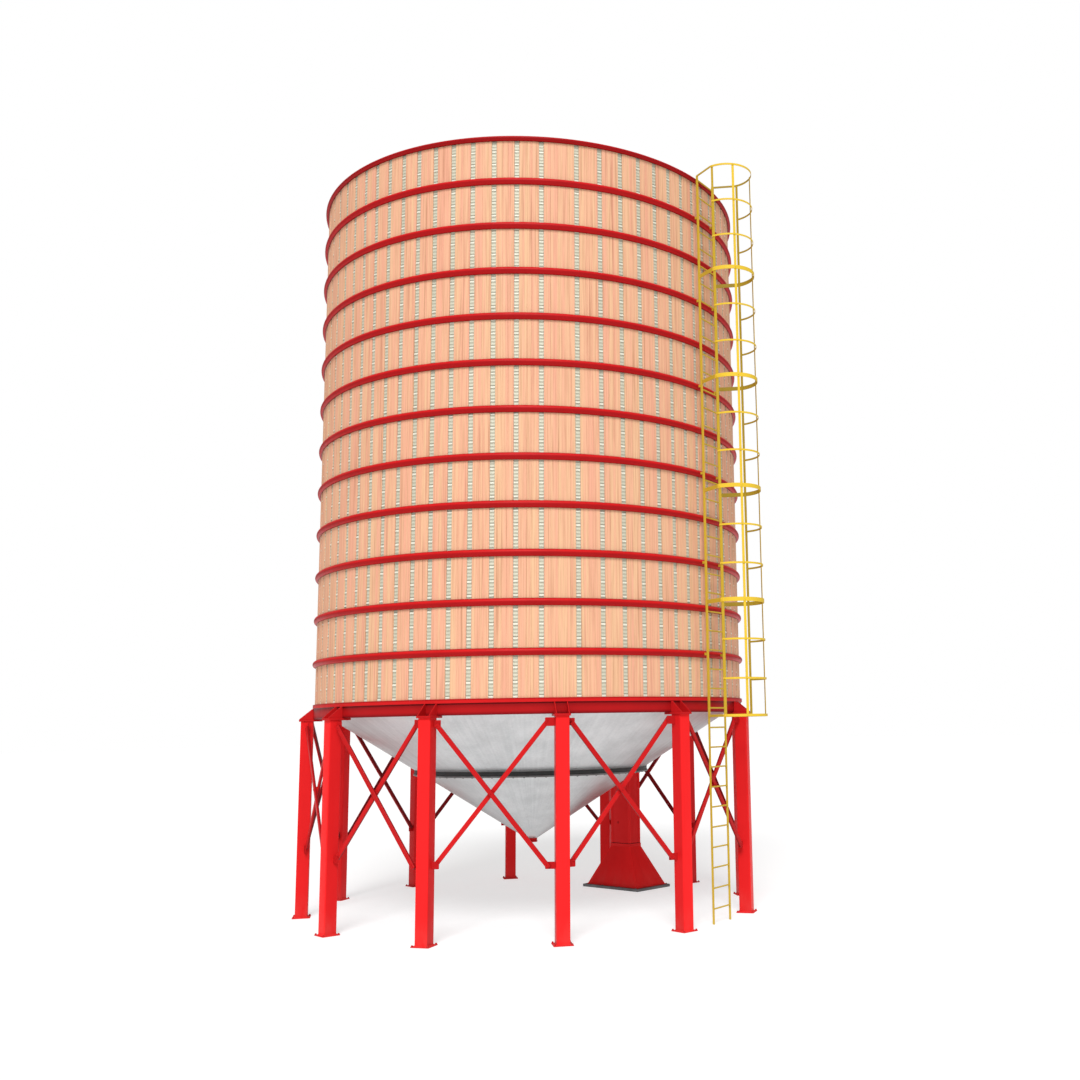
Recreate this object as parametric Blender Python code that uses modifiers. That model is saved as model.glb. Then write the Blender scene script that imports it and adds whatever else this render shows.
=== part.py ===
# Round timber silo on twelve steel legs, with a conical hopper, a duct and a caged ladder.
# Lengths are metres, +Z is up and the ground is z = 0.
# The tank's own axis stands at x = AXIS_X, so that the part's outline is centred on the origin.
import bpy
import bmesh
from math import sin, cos, tan, pi, radians
from mathutils import Matrix, Vector

# clearance left between pieces that touch
GAP = 0.0003

# facets round the tank, with one facet centred on each leg and on the ladder
FACETS = 48
HALF_FACET = pi / FACETS
FLAT = cos(HALF_FACET)

# timber wall
WALL_R = 3.600
WALL_T = 0.070
WALL_TOP = 11.960
WALL_PARTS = 6

# steel hoops, the lowest one first, and the rim at the wall's top
HOOP_COUNT = 11
HOOP_FIRST_Z = 4.043
HOOP_STEP = 0.7189
HOOP_HALF = 0.055
HOOP_DEPTH = 0.054
HOOP_FLAT_HALF = 0.026
RIM_Z = 11.929
RIM_HALF = 0.040
RIM_FLAT_HALF = 0.019

# ring beam under the wall: a sill band, a web and a bottom flange
BAND_TOP = WALL_TOP - 8.576
BAND_BOTTOM = 3.323
BAND_R = 3.630
WEB_R = 3.610
WEB_T = 0.026
BEAM_BOTTOM = 3.1533
FLANGE_T = 0.018
FLANGE_IN_R = 3.470

# legs
LEGS = 12
LEG_R = 3.714
LEG_W = 0.197
LEG_PHASE = radians(15.0)
BASE_W = 0.282
BASE_T = 0.012
CAP_T = 0.032
CAP_IN_R = 3.480
CAP_OUT_R = 3.842
CAP_W = 0.230
GUSSET_T = 0.014
GUSSET_TOP_R = 3.640

# cross bracing between the legs: one bar outside the lugs and one inside them, as (along, height)
BAR_W = 0.065
BAR_T = 0.038
DOWN_BAR = ((-0.825, 3.030), (0.780, 1.035))
UP_BAR = ((-0.812, 1.097), (0.780, 3.081))
PLATE_W = 0.090
PLATE_SINK = 0.003
LUG_T = 0.014
LUG_SHIFT = 0.007
LUG_ROOT = 0.030
LUG_LEFT_TOP = (2.985, 3.090)
LUG_LEFT_LOW = (1.032, 1.138)
LUG_RIGHT_TOP = (2.980, 3.102)
LUG_RIGHT_LOW = (1.016, 1.114)
LUG_LEFT_END = -0.766
LUG_RIGHT_END = 0.723

# hopper cone, measured on its underside
CONE_APEX_Z = 1.050
CONE_SLOPE = tan(radians(32.2))
CONE_T = 0.012
CONE_TOP_R = WEB_R - WEB_T - GAP
CONE_JOINT_R = 1.920
CONE_LOW_R = 0.0975
COLLAR_R = 1.985
COLLAR_TOP = 2.297
COLLAR_BOTTOM = 2.199
OUTLET_R = CONE_LOW_R - GAP
OUTLET_BORE = 0.075
OUTLET_BOTTOM = 1.045

# duct that stands behind the hopper, on a flared hood and a base plate
DUCT_ANGLE = radians(86.5)
DUCT_AT_R = 2.623
DUCT_TURN = radians(-8.9)
DUCT_X = 0.460
DUCT_Y = 0.290
DUCT_T = 0.010
HOOD_X = 1.260
HOOD_Y = 0.770
HOOD_TOP = 0.755
SLAB_X = 1.390
SLAB_Y = 0.900
SLAB_T = 0.048

# ladder and its cage, on the +X side
LADDER_SHIFT = -0.045
RAIL_IN_R = 3.680
RAIL_OUT_R = 3.720
RAIL_AT = 0.2535
RAIL_T = 0.012
RUNG_R = 0.012
RUNG_COUNT = 40
RUNG_FIRST_Z = 0.221
RUNG_STEP = 0.2992
LADDER_TOP = 11.962
BRACKET_EVERY = 2
BRACKET_H = 0.040
WIDE_ZS = (11.951, 10.193, 8.409, 6.629, 4.850, 3.090)
THIN_AT = (0.344, 0.683)
CAGE_MID_R = 4.098
CAGE_R = 0.427
CAGE_JOINT = radians(47.2)
CAGE_END = radians(95.0)
FRONT_FACETS = 8
SIDE_FACETS = 4
TOP_H = 0.034
FOOT_H = 0.040
WIDE_H = 0.065
THIN_H = 0.030
STRIP_T = 0.008
UPRIGHT_W = 0.040

# low timber roof, out of sight from the ground
ROOF_R = 3.600
ROOF_T = 0.032
ROOF_RISE = 0.900

# the outline's centre lies between the front of the cage and the far base plates
PLATE_REACH = (LEG_R + BASE_W / 2) * cos(LEG_PHASE) + BASE_W / 2 * sin(LEG_PHASE)
CAGE_REACH = CAGE_MID_R + CAGE_R + STRIP_T / 2 / cos(CAGE_JOINT / FRONT_FACETS)
AXIS_X = (PLATE_REACH - CAGE_REACH) / 2

for old in list(bpy.data.objects):
    bpy.data.objects.remove(old, do_unlink=True)

scene = bpy.context.scene
solids = bpy.data.collections.new("wooden_silo")
scene.collection.children.link(solids)
tools = bpy.data.collections.new("tools")
scene.collection.children.link(tools)

COLOURS = {
    "timber": (0.93, 0.66, 0.46),
    "red_steel": (0.80, 0.05, 0.04),
    "hopper_grey": (0.62, 0.63, 0.62),
    "dark_collar": (0.05, 0.06, 0.06),
    "grey_plate": (0.16, 0.16, 0.17),
    "yellow_steel": (0.80, 0.60, 0.08),
    "roof_timber": (0.55, 0.40, 0.28),
}


def paint(obj, slot):
    mat = bpy.data.materials.new(obj.name)
    mat.use_nodes = True
    shader = mat.node_tree.nodes["Principled BSDF"]
    shader.inputs["Base Color"].default_value = (*COLOURS[slot], 1.0)
    shader.inputs["Roughness"].default_value = 0.6
    obj.data.materials.append(mat)


def from_bmesh(name, bm, slot=None):
    mesh = bpy.data.meshes.new(name)
    bm.to_mesh(mesh)
    bm.free()
    obj = bpy.data.objects.new(name, mesh)
    if slot is None:
        tools.objects.link(obj)
        obj.hide_render = True
        obj.display_type = "WIRE"
    else:
        solids.objects.link(obj)
        paint(obj, slot)
    return obj


def boolean(obj, tool, operation):
    mod = obj.modifiers.new(tool.name, "BOOLEAN")
    mod.operation = operation
    mod.solver = "EXACT"
    mod.object = tool


def around(angle):
    # a frame on the tank's axis: first axis outward, second axis counter-clockwise
    return Matrix.Translation((AXIS_X, 0, 0)) @ Matrix.Rotation(angle, 4, "Z")


def box(bm, place, low, high):
    low = Vector(low)
    high = Vector(high)
    size = high - low
    matrix = place @ Matrix.Translation((low + high) / 2) @ Matrix.Diagonal((*size, 1.0))
    return bmesh.ops.create_cube(bm, size=1.0, matrix=matrix)["verts"]


def strip(bm, place, start, end, z, height, thick):
    # an upright flat bar between two points of the plan
    start = Vector(start)
    end = Vector(end)
    run = end - start
    turn = Matrix.Rotation(Vector((1, 0)).angle_signed(run) * -1, 4, "Z")
    move = Matrix.Translation(((start.x + end.x) / 2, (start.y + end.y) / 2, z))
    size = Matrix.Diagonal((run.length, thick, height, 1.0))
    bmesh.ops.create_cube(bm, size=1.0, matrix=place @ move @ turn @ size)


def ring(name, profile, slot, closed=True):
    # turn a profile about the tank's axis; it runs down the outer side, from top to bottom
    bm = bmesh.new()
    verts = [bm.verts.new((r * cos(HALF_FACET), r * sin(HALF_FACET), z)) for r, z in profile]
    for a, b in zip(verts, verts[1:]):
        bm.edges.new((a, b))
    if closed:
        bm.edges.new((verts[-1], verts[0]))
    obj = from_bmesh(name, bm, slot)
    obj.location = (AXIS_X, 0, 0)
    mod = obj.modifiers.new("turn", "SCREW")
    mod.axis = "Z"
    mod.angle = 2 * pi
    mod.steps = FACETS
    mod.render_steps = FACETS
    mod.use_merge_vertices = True
    mod.merge_threshold = 0.00005
    mod.use_smooth_shade = False
    return obj


def plan_solid(name, points, low, high, slot):
    # a closed outline in plan, raised from low to high
    curve = bpy.data.curves.new(name, "CURVE")
    curve.dimensions = "2D"
    curve.fill_mode = "BOTH"
    curve.extrude = (high - low) / 2
    spline = curve.splines.new("POLY")
    spline.points.add(len(points) - 1)
    for point, (x, y) in zip(spline.points, points):
        point.co = (x, y, 0.0, 1.0)
    spline.use_cyclic_u = True
    obj = bpy.data.objects.new(name, curve)
    obj.location = (AXIS_X, 0, (low + high) / 2)
    solids.objects.link(obj)
    paint(obj, slot)
    return obj


# wall segments
def wall_segment(number):
    per = FACETS // WALL_PARTS
    first = HALF_FACET + (number - 1) * per * 2 * HALF_FACET
    trim = GAP / 2 / WALL_R
    angles = [first + i * 2 * HALF_FACET for i in range(per + 1)]
    angles[0] += trim
    angles[-1] -= trim
    inner = WALL_R - WALL_T
    outside = [(WALL_R * cos(a), WALL_R * sin(a)) for a in angles]
    inside = [(inner * cos(a), inner * sin(a)) for a in reversed(angles)]
    plan_solid(f"wall_segment_{number:02d}", outside + inside, BAND_TOP + GAP, WALL_TOP, "timber")


for number in range(1, WALL_PARTS + 1):
    wall_segment(number)


# hoops and the rim
def hoop(name, z, half=HOOP_HALF, flat_half=HOOP_FLAT_HALF):
    back = WALL_R + GAP
    front = back + HOOP_DEPTH
    ring(name, [(back, z + half), (front, z + flat_half), (front, z - flat_half), (back, z - half)],
         "red_steel")


for number in range(1, HOOP_COUNT + 1):
    hoop(f"hoop_{number:02d}", HOOP_FIRST_Z + (number - 1) * HOOP_STEP)
hoop("top_rim", RIM_Z, RIM_HALF, RIM_FLAT_HALF)

# ring beam
ring("ring_beam", [
    (BAND_R, BAND_TOP), (BAND_R, BAND_BOTTOM), (WEB_R, BAND_BOTTOM),
    (WEB_R, BEAM_BOTTOM),
    (FLANGE_IN_R, BEAM_BOTTOM), (FLANGE_IN_R, BEAM_BOTTOM + FLANGE_T),
    (WEB_R - WEB_T, BEAM_BOTTOM + FLANGE_T), (WEB_R - WEB_T, BAND_BOTTOM),
    (WALL_R - WALL_T, BAND_BOTTOM), (WALL_R - WALL_T, BAND_TOP),
], "red_steel")


# hopper
def cone_z(r):
    return CONE_APEX_Z + CONE_SLOPE * r


def cone_r(z):
    return (z - CONE_APEX_Z) / CONE_SLOPE


SHEET = CONE_T / cos(radians(32.2))
ring("hopper_upper", [
    (CONE_TOP_R, cone_z(CONE_TOP_R) + SHEET), (CONE_TOP_R, cone_z(CONE_TOP_R)),
    (CONE_JOINT_R + GAP, cone_z(CONE_JOINT_R + GAP)),
    (CONE_JOINT_R + GAP, cone_z(CONE_JOINT_R + GAP) + SHEET),
], "hopper_grey")
ring("hopper_lower", [
    (CONE_JOINT_R, cone_z(CONE_JOINT_R) + SHEET), (CONE_JOINT_R, cone_z(CONE_JOINT_R)),
    (CONE_LOW_R, cone_z(CONE_LOW_R)), (CONE_LOW_R, cone_z(CONE_LOW_R) + SHEET),
], "hopper_grey")
ring("hopper_collar", [
    (COLLAR_R, COLLAR_TOP), (COLLAR_R, COLLAR_BOTTOM),
    (cone_r(COLLAR_BOTTOM) + GAP, COLLAR_BOTTOM), (cone_r(COLLAR_TOP) + GAP, COLLAR_TOP),
], "dark_collar")
ring("outlet_flange", [
    (OUTLET_R, cone_z(CONE_LOW_R) + SHEET), (OUTLET_R, OUTLET_BOTTOM), (OUTLET_BORE, OUTLET_BOTTOM),
    (OUTLET_BORE, cone_z(CONE_LOW_R) + SHEET),
], "red_steel")

# roof
EAVE_Z = WALL_TOP + GAP
ring("roof", [
    (0.0, EAVE_Z + ROOF_T + ROOF_RISE), (ROOF_R, EAVE_Z + ROOF_T), (ROOF_R, EAVE_Z),
    (WALL_R - WALL_T, EAVE_Z), (0.0, EAVE_Z + ROOF_RISE - ROOF_T),
], "roof_timber", closed=False)

# legs and bracing; the bay's own frame stands at the middle of the chord between two legs
STEP = 2 * pi / LEGS
CHORD_R = LEG_R * cos(STEP / 2)
CHORD_HALF = LEG_R * sin(STEP / 2)
LUG_IN_R = CHORD_R + LUG_SHIFT - LUG_T / 2
LUG_OUT_R = CHORD_R + LUG_SHIFT + LUG_T / 2
LUG_START = CHORD_HALF - LUG_ROOT


def leg(number):
    place = around(LEG_PHASE + (number - 1) * STEP)
    half = LEG_W / 2
    name = f"leg_{number:02d}"
    top = BEAM_BOTTOM - GAP
    bm = bmesh.new()
    box(bm, place, (LEG_R - half, -half, BASE_T / 2), (LEG_R + half, half, top - CAP_T / 2))
    obj = from_bmesh(name, bm, "red_steel")
    bm = bmesh.new()
    box(bm, place, (LEG_R - BASE_W / 2, -BASE_W / 2, 0), (LEG_R + BASE_W / 2, BASE_W / 2, BASE_T))
    box(bm, place, (CAP_IN_R, -CAP_W / 2, top - CAP_T), (CAP_OUT_R, CAP_W / 2, top))
    # lugs for the bay that starts at this leg, and for the bay that ends at it
    left = around(LEG_PHASE + (number - 0.5) * STEP)
    right = around(LEG_PHASE + (number - 1.5) * STEP)
    for low, high in (LUG_LEFT_TOP, LUG_LEFT_LOW):
        box(bm, left, (LUG_IN_R, -LUG_START, low), (LUG_OUT_R, LUG_LEFT_END, high))
    for low, high in (LUG_RIGHT_TOP, LUG_RIGHT_LOW):
        box(bm, right, (LUG_IN_R, LUG_RIGHT_END, low), (LUG_OUT_R, LUG_START, high))
    boolean(obj, from_bmesh(name + "_plates", bm), "UNION")
    bm = bmesh.new()
    inside = WEB_R * FLAT + GAP
    foot = top - CAP_T / 2
    peak = BAND_BOTTOM - GAP
    for side in (-1, 1):
        mid = side * (half - GUSSET_T / 2)
        verts = box(bm, place, (inside, mid - GUSSET_T / 2, foot),
                    (CAP_OUT_R - 0.004, mid + GUSSET_T / 2, peak))
        back = place.inverted()
        for vert in verts:
            local = back @ vert.co
            if local.z > foot + 0.01 and local.x > LEG_R:
                vert.co = place @ Vector((GUSSET_TOP_R, local.y, local.z))
    boolean(obj, from_bmesh(name + "_gussets", bm), "UNION")


def flat_bar(bm, place, start, end, low_r, high_r, width):
    # a bar in the bay's plane, between two points given as (along the chord, height)
    a = Vector((start[0], start[1]))
    b = Vector((end[0], end[1]))
    run = b - a
    slope = Matrix.Rotation(-Vector((1, 0)).angle_signed(run), 4, "X")
    move = Matrix.Translation(((low_r + high_r) / 2, (a.x + b.x) / 2, (a.y + b.y) / 2))
    size = Matrix.Diagonal((high_r - low_r, run.length, width, 1.0))
    bmesh.ops.create_cube(bm, size=1.0, matrix=place @ move @ slope @ size)


def crossing():
    # where the two bars cross in the bay's own frame, as (along, height)
    (down_t, down_z), (down_end_t, down_end_z) = DOWN_BAR
    (up_t, up_z), (up_end_t, up_end_z) = UP_BAR
    fall = (down_end_z - down_z) / (down_end_t - down_t)
    climb = (up_end_z - up_z) / (up_end_t - up_t)
    at = (up_z - down_z + fall * down_t - climb * up_t) / (fall - climb)
    return at, down_z + fall * (at - down_t)


def bracing(number):
    place = around(LEG_PHASE + (number - 0.5) * STEP)
    name = f"bracing_{number:02d}"
    outer = LUG_OUT_R + GAP
    inner = LUG_IN_R - GAP
    bm = bmesh.new()
    flat_bar(bm, place, *DOWN_BAR, outer, outer + BAR_T, BAR_W)
    obj = from_bmesh(name, bm, "red_steel")
    bm = bmesh.new()
    at, z = crossing()
    half = PLATE_W / 2
    box(bm, place, (inner - PLATE_SINK, at - half, z - half), (outer + PLATE_SINK, at + half, z + half))
    boolean(obj, from_bmesh(name + "_plate", bm), "UNION")
    bm = bmesh.new()
    flat_bar(bm, place, *UP_BAR, inner - BAR_T, inner, BAR_W)
    boolean(obj, from_bmesh(name + "_bar", bm), "UNION")


for number in range(1, LEGS + 1):
    leg(number)
    bracing(number)


# duct, hood and base plate
duct_place = (around(0) @ Matrix.Translation((DUCT_AT_R * cos(DUCT_ANGLE), DUCT_AT_R * sin(DUCT_ANGLE), 0))
              @ Matrix.Rotation(DUCT_TURN, 4, "Z"))


def flare(bm, place, low_z, high_z, low_size, high_size):
    # a four-sided flare between two rectangles
    rows = []
    for z, (x, y) in ((low_z, low_size), (high_z, high_size)):
        corners = ((-x / 2, -y / 2), (x / 2, -y / 2), (x / 2, y / 2), (-x / 2, y / 2))
        rows.append([bm.verts.new(place @ Vector((a, b, z))) for a, b in corners])
    bm.faces.new(list(reversed(rows[0])))
    bm.faces.new(rows[1])
    for i in range(4):
        j = (i + 1) % 4
        bm.faces.new((rows[0][i], rows[0][j], rows[1][j], rows[1][i]))


bm = bmesh.new()
box(bm, duct_place, (-SLAB_X / 2, -SLAB_Y / 2, 0), (SLAB_X / 2, SLAB_Y / 2, SLAB_T))
from_bmesh("duct_base_plate", bm, "grey_plate")

bm = bmesh.new()
flare(bm, duct_place, SLAB_T + GAP, HOOD_TOP, (HOOD_X, HOOD_Y), (DUCT_X, DUCT_Y))
hood = from_bmesh("duct_hood", bm, "red_steel")
bm = bmesh.new()
wall = 2 * DUCT_T
reach = 0.02
grow_x = (HOOD_X - DUCT_X) / (HOOD_TOP - SLAB_T) * reach
grow_y = (HOOD_Y - DUCT_Y) / (HOOD_TOP - SLAB_T) * reach
flare(bm, duct_place, SLAB_T - reach, HOOD_TOP + reach,
      (HOOD_X - wall * 1.2 + grow_x, HOOD_Y - wall * 1.2 + grow_y),
      (DUCT_X - wall * 1.2 - grow_x, DUCT_Y - wall * 1.2 - grow_y))
boolean(hood, from_bmesh("hood_bore", bm), "DIFFERENCE")

bm = bmesh.new()
box(bm, duct_place, (-DUCT_X / 2, -DUCT_Y / 2, HOOD_TOP + GAP), (DUCT_X / 2, DUCT_Y / 2, 3.1))
duct = from_bmesh("duct", bm, "red_steel")
bm = bmesh.new()
box(bm, duct_place, (-DUCT_X / 2 + DUCT_T, -DUCT_Y / 2 + DUCT_T, 0.5),
    (DUCT_X / 2 - DUCT_T, DUCT_Y / 2 - DUCT_T, 3.3))
boolean(duct, from_bmesh("duct_bore", bm), "DIFFERENCE")
bm = bmesh.new()
depth = 4.0 - CONE_APEX_Z
bmesh.ops.create_cone(bm, cap_ends=True, segments=FACETS, radius1=0.0, radius2=depth / CONE_SLOPE,
                      depth=depth, matrix=around(HALF_FACET)
                      @ Matrix.Translation((0, 0, CONE_APEX_Z + depth / 2 - GAP / cos(radians(32.2)))))
boolean(duct, from_bmesh("duct_top_cut", bm), "DIFFERENCE")

# ladder
ladder_place = around(0) @ Matrix.Translation((0, LADDER_SHIFT, 0))
bm = bmesh.new()
for side in (-1, 1):
    box(bm, ladder_place, (RAIL_IN_R, side * RAIL_AT - RAIL_T / 2, 0.0),
        (RAIL_OUT_R, side * RAIL_AT + RAIL_T / 2, LADDER_TOP))
ladder = from_bmesh("ladder", bm, "yellow_steel")
bm = bmesh.new()
for i in range(RUNG_COUNT):
    z = RUNG_FIRST_Z + i * RUNG_STEP
    middle = ladder_place @ Matrix.Translation(((RAIL_IN_R + RAIL_OUT_R) / 2, 0, z))
    bmesh.ops.create_cone(bm, cap_ends=True, segments=6, radius1=RUNG_R, radius2=RUNG_R,
                          depth=2 * RAIL_AT, matrix=middle @ Matrix.Rotation(pi / 2, 4, "X"))
hoop_front = (WALL_R + GAP + HOOP_DEPTH) * FLAT
for number in range(0, HOOP_COUNT, BRACKET_EVERY):
    z = HOOP_FIRST_Z + number * HOOP_STEP
    for side in (-1, 1):
        y = side * RAIL_AT
        near = max(abs(y + LADDER_SHIFT) - RAIL_T / 2, 0)
        face = hoop_front
        if near > (WALL_R + HOOP_DEPTH) * sin(HALF_FACET):
            face = (hoop_front - near * sin(2 * HALF_FACET)) / cos(2 * HALF_FACET)
        box(bm, ladder_place, (face + GAP, y - 0.004, z - BRACKET_H / 2),
            (RAIL_IN_R + 0.010, y + 0.004, z + BRACKET_H / 2))
boolean(ladder, from_bmesh("ladder_rungs", bm), "UNION")


# cage: a front panel and two side panels, bent round one upright line
def cage_levels():
    # each hoop's height above ground, its own width, and whether it reaches back to the rails
    heights = [WIDE_H] * len(WIDE_ZS)
    heights[0] = TOP_H
    heights[-1] = FOOT_H
    for z, height in zip(WIDE_ZS, heights):
        yield z, height, True
    for above, below in zip(WIDE_ZS, WIDE_ZS[1:]):
        for share in THIN_AT:
            yield above + (below - above) * share, THIN_H, False


def on_arc(angle):
    return Vector((CAGE_MID_R + CAGE_R * cos(angle), CAGE_R * sin(angle)))


def band(bm, place, points, z, height, lead=None, tail=None):
    # a flat bar on edge that follows points in plan; lead and tail only set the mitre of its ends
    rows = []
    for i, point in enumerate(points):
        last = points[i - 1] if i > 0 else lead
        after = points[i + 1] if i + 1 < len(points) else tail
        back = (point - last).normalized() if last else (after - point).normalized()
        on = (after - point).normalized() if after else back
        along = (back + on).normalized()
        out = Vector((along.y, -along.x)) * (STRIP_T / 2 / along.dot(back))
        rows.append([bm.verts.new(place @ Vector((*(point + out * side), z + height * up)))
                     for side, up in ((-1, -0.5), (1, -0.5), (1, 0.5), (-1, 0.5))])
    faces = [bm.faces.new(rows[0]), bm.faces.new(list(reversed(rows[-1])))]
    for first, second in zip(rows, rows[1:]):
        for i in range(4):
            j = (i + 1) % 4
            faces.append(bm.faces.new((first[i], second[i], second[j], first[j])))
    bmesh.ops.recalc_face_normals(bm, faces=faces)


def upright(bm, facet_angle, half_facet, start):
    # a flat upright on the inner side of one facet of the hoops
    middle = ladder_place @ Matrix.Translation((CAGE_MID_R, 0, 0)) @ Matrix.Rotation(facet_angle, 4, "Z")
    apothem = CAGE_R * cos(half_facet)
    ends = sorted((start, start + (UPRIGHT_W if facet_angle > 0 else -UPRIGHT_W)))
    box(bm, middle, (apothem - STRIP_T - 0.001, ends[0], CAGE_LOW), (apothem - 0.001, ends[1], CAGE_HIGH))


CAGE_LOW = WIDE_ZS[-1] - FOOT_H / 2 + 0.002
CAGE_HIGH = WIDE_ZS[0] + TOP_H / 2 - 0.002
half = CAGE_JOINT / FRONT_FACETS
side_half = (CAGE_END - CAGE_JOINT) / SIDE_FACETS / 2
bm = bmesh.new()
for side in (-1, 1):
    upright(bm, side * (CAGE_JOINT - half), half, side * 0.0015)
front = from_bmesh("cage_front", bm, "yellow_steel")
bm = bmesh.new()
arc = [on_arc(-CAGE_JOINT + i * 2 * half) for i in range(FRONT_FACETS + 1)]
for z, height, wide in cage_levels():
    band(bm, ladder_place, arc, z, height, on_arc(-CAGE_JOINT - 2 * side_half),
         on_arc(CAGE_JOINT + 2 * side_half))
boolean(front, from_bmesh("cage_front_strips", bm), "UNION")


def cage_side(name, side):
    rail = Vector((RAIL_OUT_R - 0.002, side * (RAIL_AT + RAIL_T / 2 + GAP + STRIP_T / 2)))
    bm = bmesh.new()
    # upright at the corner, and the flat beside the ladder's rail
    upright(bm, side * (CAGE_END - side_half), side_half, side * 0.0025)
    strip(bm, ladder_place, rail - Vector((0.022, 0)), rail + Vector((0.026, 0)),
          (CAGE_LOW + CAGE_HIGH) / 2, CAGE_HIGH - CAGE_LOW, STRIP_T)
    obj = from_bmesh(name, bm, "yellow_steel")
    bm = bmesh.new()
    arc = [on_arc(side * (CAGE_JOINT + i * 2 * side_half)) for i in range(SIDE_FACETS + 1)]
    lead = on_arc(side * (CAGE_JOINT - 2 * half))
    arc[0] += (arc[1] - arc[0]).normalized() * GAP
    wing = (rail - arc[-1]).normalized()
    for z, height, wide in cage_levels():
        points = arc + [rail - wing * 0.006] if wide else arc
        band(bm, ladder_place, points, z, height, lead)
    boolean(obj, from_bmesh(name + "_strips", bm), "UNION")


cage_side("cage_side_near", -1)
cage_side("cage_side_far", 1)
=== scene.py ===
import bmesh
import bpy
import numpy as np
from math import cos, pi, radians, sin, tan
from mathutils import Matrix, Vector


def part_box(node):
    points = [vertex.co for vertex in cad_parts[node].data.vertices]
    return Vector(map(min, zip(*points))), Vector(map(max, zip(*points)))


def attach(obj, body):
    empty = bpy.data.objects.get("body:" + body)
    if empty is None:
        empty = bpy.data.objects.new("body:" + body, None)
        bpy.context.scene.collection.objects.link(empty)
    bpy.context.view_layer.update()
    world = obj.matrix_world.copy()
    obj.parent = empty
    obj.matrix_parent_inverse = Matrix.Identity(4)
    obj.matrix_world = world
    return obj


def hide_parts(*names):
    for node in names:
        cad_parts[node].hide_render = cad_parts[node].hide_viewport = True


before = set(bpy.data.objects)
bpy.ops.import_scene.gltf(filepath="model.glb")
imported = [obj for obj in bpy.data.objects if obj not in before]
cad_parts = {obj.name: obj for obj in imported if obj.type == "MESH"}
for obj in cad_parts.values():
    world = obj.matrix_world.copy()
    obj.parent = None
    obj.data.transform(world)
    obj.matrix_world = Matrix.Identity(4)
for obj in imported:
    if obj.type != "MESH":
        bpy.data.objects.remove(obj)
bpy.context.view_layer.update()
print("frame loaded,", len(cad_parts), "nodes")

# the tank's main sizes, in metres and degrees, as the frame has them
coneAngle = radians(32.2)
silo = {
    "wallOut": 3.600, "wallIn": 3.530, "wallFoot": 3.3845, "wallTop": 11.960,
    "legs": 12, "firstLeg": 15.0, "legRing": 3.714, "roundSteps": 192,
    "coneTip": 1.050, "coneSlope": tan(coneAngle),
}
hoopLow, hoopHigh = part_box("hoop_01")
axisX = (hoopLow.x + hoopHigh.x) / 2
legAngles = silo["firstLeg"] + np.arange(silo["legs"]) * 360 / silo["legs"]
bayAngles = legAngles + 180 / silo["legs"]
chordOut = silo["legRing"] * cos(pi / silo["legs"])
chordHalf = silo["legRing"] * sin(pi / silo["legs"])
hoopNodes = [f"hoop_{n:02d}" for n in range(1, 12)] + ["top_rim"]
hoopHeights = [sum(c.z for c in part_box(node)) / 2 for node in hoopNodes]

# the gap that neighbouring pieces keep, and how deep heads and welds sit in what carries them
gap = 0.0003
sunk = 0.001

# turns of a loose part: its z outward, its z downward, and its z to either side
outward = np.array([[0, 0, 1, 0], [1, 0, 0, 0], [0, 1, 0, 0], [0, 0, 0, 1]], float)
downward = np.diag([1.0, -1.0, -1.0, 1.0])
sideways = {s: np.array([[1, 0, 0, 0], [0, 0, -s, 0], [0, s, 0, 0], [0, 0, 0, 1]], float) for s in (-1, 1)}


def skin(grid, closeRows=False, tone=0.5):
    # faces between neighbouring rows and columns of every grid in a stack; open rows end in one flat face
    grid = np.asarray(grid, float)
    grid = grid.reshape(-1, *grid.shape[-3:])
    count, rows, columns = grid.shape[:3]
    u = np.arange(rows if closeRows else rows - 1)[:, None]
    v = np.arange(columns)[None, :]
    nextU, nextV = (u + 1) % rows, (v + 1) % columns
    corners = (u * columns + v, u * columns + nextV, nextU * columns + nextV, nextU * columns + v)
    quads = np.stack(np.broadcast_arrays(*corners), -1).reshape(-1, 4)
    first = np.arange(count)[:, None, None] * rows * columns
    faces = [(quads[None] + first).reshape(-1, 4)]
    if not closeRows:
        ends = np.stack([np.arange(columns)[::-1], (rows - 1) * columns + np.arange(columns)])
        faces.append((ends[None] + first).reshape(-1, columns))
    tones = np.broadcast_to(np.asarray(tone, float), (count, rows, columns))
    return {"points": grid.reshape(-1, 3), "faces": faces, "tones": tones.reshape(-1)}


def placed(grid, places):
    # every point of a grid through every place: turn times point, plus shift
    grid, places = np.asarray(grid, float), np.asarray(places, float).reshape(-1, 4, 4)
    shift = places[:, :3, 3].reshape((-1,) + (1,) * (grid.ndim - 1) + (3,))
    return np.einsum("nij,...j->n...i", places[:, :3, :3], grid) + shift


def around(degrees, out=0.0, along=0.0, up=0.0):
    # places round the tank's axis: x outward, y counter-clockwise, z up
    angle, out, along, up = (np.ravel(v) for v in np.broadcast_arrays(np.radians(degrees), out, along, up))
    c, s = np.cos(angle), np.sin(angle)
    place = np.zeros((angle.size, 4, 4))
    place[:, 0, 0], place[:, 1, 0], place[:, 0, 1], place[:, 1, 1] = c, s, -s, c
    place[:, 2, 2], place[:, 3, 3] = 1, 1
    place[:, 0, 3], place[:, 1, 3], place[:, 2, 3] = axisX + c * out - s * along, s * out + c * along, up
    return place


def shifted(x, y, z):
    # places that only shift
    return around(0, x - axisX, y, z)


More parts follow.
